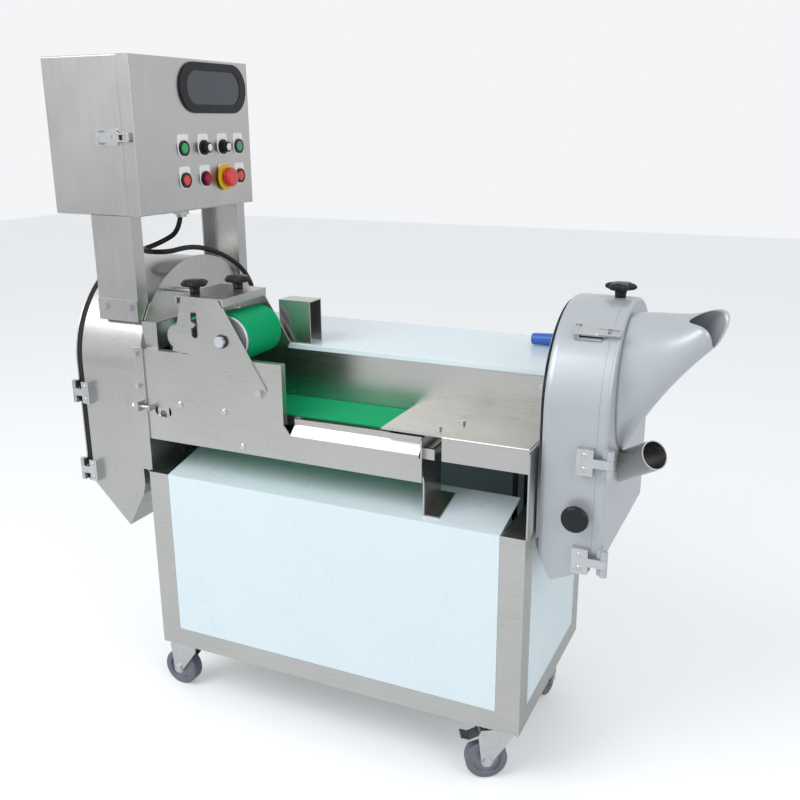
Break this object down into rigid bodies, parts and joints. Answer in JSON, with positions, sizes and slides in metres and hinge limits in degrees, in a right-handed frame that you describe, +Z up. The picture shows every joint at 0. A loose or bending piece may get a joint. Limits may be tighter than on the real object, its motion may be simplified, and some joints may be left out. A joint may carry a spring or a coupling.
{
  "type": "vegetable slicing machine",
  "caption": "Floor-standing stainless vegetable slicer with belt feed and press belt to a knife head, a hopper-fed disc head at the other end, and a control box on posts.",
  "frame": {"origin": "bottom centre of the bounding box, on the floor under the wheels", "axes": "+X from the knife head along the cabinet to the hopper head, +Y from the operator side to the back, +Z up"},
  "size_m": [1.268, 0.4516, 1.317],
  "materials": {
    "steel": "fine brushed stainless sheet",
    "grey_paint": "satin grey",
    "zinc": "bright zinc plate",
    "green_belt": "smooth belt cover",
    "black_fittings": "satin black with a dark glass pane",
    "black_rubber": "matt",
    "black_plastic": "satin",
    "red_plastic": "glossy",
    "green_plastic": "glossy",
    "blue_plastic": "satin",
    "grey_tyre": "matt",
    "iron": "painted cast iron"
  },
  "bodies": {
    "machine": {"belt_bed": "steel", "bolts": "steel", "cabinet_frame": "steel", "cabinet_panels": "steel", "castor_plates": "steel", "control_box": "steel", "control_cable": "black_rubber", "conveyor_belt": "green_belt", "cover_fittings": "steel", "drive_belts": "black_rubber", "end_plates": "steel", "feed_table": "steel", "left_housing": "steel", "motors": "iron", "posts": "steel", "press_frame": "steel", "pusher": "blue_plastic", "right_housing": "grey_paint", "top_cover": "steel", "trough_front_wall": "steel"},
    "left_cover": {"left_cover": "steel", "left_seal": "black_rubber"},
    "right_cover": {"right_cover": "steel", "hopper": "steel", "feed_tube": "steel"},
    "control_door": {"control_door": "steel", "door_fittings": "black_fittings"},
    "knife_rotor": {"knife_disc": "steel", "knife_shaft": "steel"},
    "slicer_rotor": {"slicing_disc": "steel", "slicer_shaft": "steel"},
    "knife_motor_rotor": {"knife_motor_pulley": "iron"},
    "slicer_motor_rotor": {"slicer_motor_pulley": "iron"},
    "head_roller": {"belt_head_roller": "zinc"},
    "tail_roller": {"belt_tail_roller": "zinc"},
    "press_arm": {"press_carriage": "steel", "press_belt": "green_belt"},
    "press_roller": {"press_roller": "zinc"},
    "press_knob_front": {"press_knob_front": "black_plastic"},
    "press_knob_rear": {"press_knob_rear": "black_plastic"},
    "top_knob": {"top_knob": "black_plastic"},
    "front_knob": {"front_knob": "black_plastic"},
    "right_latch": {"right_latch": "steel"},
    "box_latch": {"box_latch": "steel"},
    "emergency_stop": {"emergency_stop": "red_plastic"},
    "brake_pedal": {"brake_pedal": "steel"},
    "start_button_left": {"start_button_left": "green_plastic"},
    "start_button_right": {"start_button_right": "green_plastic"},
    "stop_button_left": {"stop_button_left": "red_plastic"},
    "stop_button_right": {"stop_button_right": "red_plastic"},
    "speed_dial_left": {"speed_dial_left": "black_plastic"},
    "speed_dial_right": {"speed_dial_right": "black_plastic"},
    "fork_front_left": {"castor_fork_front_left": "steel"},
    "wheel_front_left": {"castor_wheel_front_left": "grey_tyre"},
    "fork_front_right": {"castor_fork_front_right": "steel"},
    "wheel_front_right": {"castor_wheel_front_right": "grey_tyre"},
    "fork_rear_left": {"castor_fork_rear_left": "steel"},
    "wheel_rear_left": {"castor_wheel_rear_left": "grey_tyre"},
    "fork_rear_right": {"castor_fork_rear_right": "steel"},
    "wheel_rear_right": {"castor_wheel_rear_right": "grey_tyre"}
  },
  "joints": [
    {"name": "left_cover_hinge", "type": "hinge", "parent": "machine", "child": "left_cover", "pos_m": [-0.61701, -0.21681, 0.696], "axis": [0, 0, 1], "range_deg": [0, 110]},
    {"name": "right_cover_hinge", "type": "hinge", "parent": "machine", "child": "right_cover", "pos_m": [0.48299, -0.18981, 0.68], "axis": [0, 0, -1], "range_deg": [0, 110]},
    {"name": "control_door_hinge", "type": "hinge", "parent": "machine", "child": "control_door", "pos_m": [-0.45001, 0.18919, 1.171], "axis": [0, 0, 1], "range_deg": [0, 115]},
    {"name": "knife_spin", "type": "hinge", "parent": "machine", "child": "knife_rotor", "pos_m": [-0.44601, -0.00781, 0.723], "axis": [1, 0, 0], "continuous": true},
    {"name": "slicer_spin", "type": "hinge", "parent": "machine", "child": "slicer_rotor", "pos_m": [0.35399, -0.00781, 0.728], "axis": [1, 0, 0], "continuous": true},
    {"name": "knife_motor_spin", "type": "hinge", "parent": "machine", "child": "knife_motor_rotor", "pos_m": [-0.38401, -0.00781, 0.343], "axis": [1, 0, 0], "continuous": true},
    {"name": "slicer_motor_spin", "type": "hinge", "parent": "machine", "child": "slicer_motor_rotor", "pos_m": [0.26799, -0.00781, 0.343], "axis": [1, 0, 0], "continuous": true},
    {"name": "head_roller_spin", "type": "hinge", "parent": "machine", "child": "head_roller", "pos_m": [-0.40201, -0.12281, 0.639], "axis": [0, 1, 0], "continuous": true},
    {"name": "tail_roller_spin", "type": "hinge", "parent": "machine", "child": "tail_roller", "pos_m": [0.12299, -0.12281, 0.639], "axis": [0, 1, 0], "continuous": true},
    {"name": "press_arm_swing", "type": "hinge", "parent": "machine", "child": "press_arm", "pos_m": [-0.24601, -0.13781, 0.804], "axis": [0, 1, 0], "range_deg": [-8, 6]},
    {"name": "press_roller_spin", "type": "hinge", "parent": "machine", "child": "press_roller", "pos_m": [-0.24601, -0.13781, 0.804], "axis": [0, 1, 0], "continuous": true},
    {"name": "press_knob_front_turn", "type": "hinge", "parent": "machine", "child": "press_knob_front", "pos_m": [-0.33101, -0.17281, 0.883], "axis": [0, 0, 1], "continuous": true},
    {"name": "press_knob_rear_turn", "type": "hinge", "parent": "machine", "child": "press_knob_rear", "pos_m": [-0.28401, -0.09681, 0.883], "axis": [0, 0, 1], "continuous": true},
    {"name": "top_knob_turn", "type": "hinge", "parent": "machine", "child": "top_knob", "pos_m": [0.44599, -0.00781, 0.903], "axis": [0, 0, 1], "continuous": true},
    {"name": "front_knob_turn", "type": "hinge", "parent": "machine", "child": "front_knob", "pos_m": [0.43299, -0.18281, 0.562], "axis": [0, -1, 0], "continuous": true},
    {"name": "right_latch_lift", "type": "hinge", "parent": "machine", "child": "right_latch", "pos_m": [0.40399, -0.12839, 0.86641], "axis": [0, -0.754, -0.6569], "range_deg": [0, 150]},
    {"name": "box_latch_lift", "type": "hinge", "parent": "machine", "child": "box_latch", "pos_m": [-0.50501, -0.20631, 1.17], "axis": [0, 0, -1], "range_deg": [0, 150]},
    {"name": "start_button_left_press", "type": "slide", "parent": "control_door", "child": "start_button_left", "axis": [-1, 0, 0], "range_m": [0, 0.003], "stiffness_N_per_m": 300},
    {"name": "start_button_right_press", "type": "slide", "parent": "control_door", "child": "start_button_right", "axis": [-1, 0, 0], "range_m": [0, 0.003], "stiffness_N_per_m": 300},
    {"name": "stop_button_left_press", "type": "slide", "parent": "control_door", "child": "stop_button_left", "axis": [-1, 0, 0], "range_m": [0, 0.003], "stiffness_N_per_m": 300},
    {"name": "stop_button_right_press", "type": "slide", "parent": "control_door", "child": "stop_button_right", "axis": [-1, 0, 0], "range_m": [0, 0.003], "stiffness_N_per_m": 300},
    {"name": "emergency_stop_press", "type": "slide", "parent": "control_door", "child": "emergency_stop", "axis": [-1, 0, 0], "range_m": [0, 0.006]},
    {"name": "speed_dial_left_turn", "type": "hinge", "parent": "control_door", "child": "speed_dial_left", "pos_m": [-0.42601, 0.01119, 1.147], "axis": [1, 0, 0], "range_deg": [-135, 135]},
    {"name": "speed_dial_right_turn", "type": "hinge", "parent": "control_door", "child": "speed_dial_right", "pos_m": [-0.42601, 0.07719, 1.147], "axis": [1, 0, 0], "range_deg": [-135, 135]},
    {"name": "swivel_front_left", "type": "hinge", "parent": "machine", "child": "fork_front_left", "pos_m": [-0.40201, -0.16881, 0.11], "axis": [0, 0, 1], "continuous": true},
    {"name": "roll_front_left", "type": "hinge", "parent": "fork_front_left", "child": "wheel_front_left", "pos_m": [-0.43401, -0.16881, 0.04], "axis": [0, -1, 0], "continuous": true},
    {"name": "swivel_front_right", "type": "hinge", "parent": "machine", "child": "fork_front_right", "pos_m": [0.30999, -0.16881, 0.11], "axis": [0, 0, 1], "continuous": true},
    {"name": "roll_front_right", "type": "hinge", "parent": "fork_front_right", "child": "wheel_front_right", "pos_m": [0.28228, -0.18481, 0.04], "axis": [0.5, -0.866, 0], "continuous": true},
    {"name": "swivel_rear_left", "type": "hinge", "parent": "machine", "child": "fork_rear_left", "pos_m": [-0.40201, 0.15319, 0.11], "axis": [0, 0, 1], "continuous": true},
    {"name": "roll_rear_left", "type": "hinge", "parent": "fork_rear_left", "child": "wheel_rear_left", "pos_m": [-0.40757, 0.1847, 0.04], "axis": [-0.9848, -0.1736, 0], "continuous": true},
    {"name": "swivel_rear_right", "type": "hinge", "parent": "machine", "child": "fork_rear_right", "pos_m": [0.30999, 0.15319, 0.11], "axis": [0, 0, 1], "continuous": true},
    {"name": "roll_rear_right", "type": "hinge", "parent": "fork_rear_right", "child": "wheel_rear_right", "pos_m": [0.3072, 0.12131, 0.04], "axis": [0.9962, -0.0872, 0], "continuous": true},
    {"name": "brake_pedal_press", "type": "hinge", "parent": "fork_front_right", "child": "brake_pedal", "pos_m": [0.27535, -0.18881, 0.096], "axis": [0.5, -0.866, 0], "range_deg": [0, 18]}
  ],
  "couplings": [
    {"joint": "knife_motor_spin", "follows": "knife_spin", "ratio": 1},
    {"joint": "slicer_motor_spin", "follows": "slicer_spin", "ratio": 1},
    {"joint": "tail_roller_spin", "follows": "head_roller_spin", "ratio": 1},
    {"joint": "press_roller_spin", "follows": "head_roller_spin", "ratio": -0.61311}
  ]
}
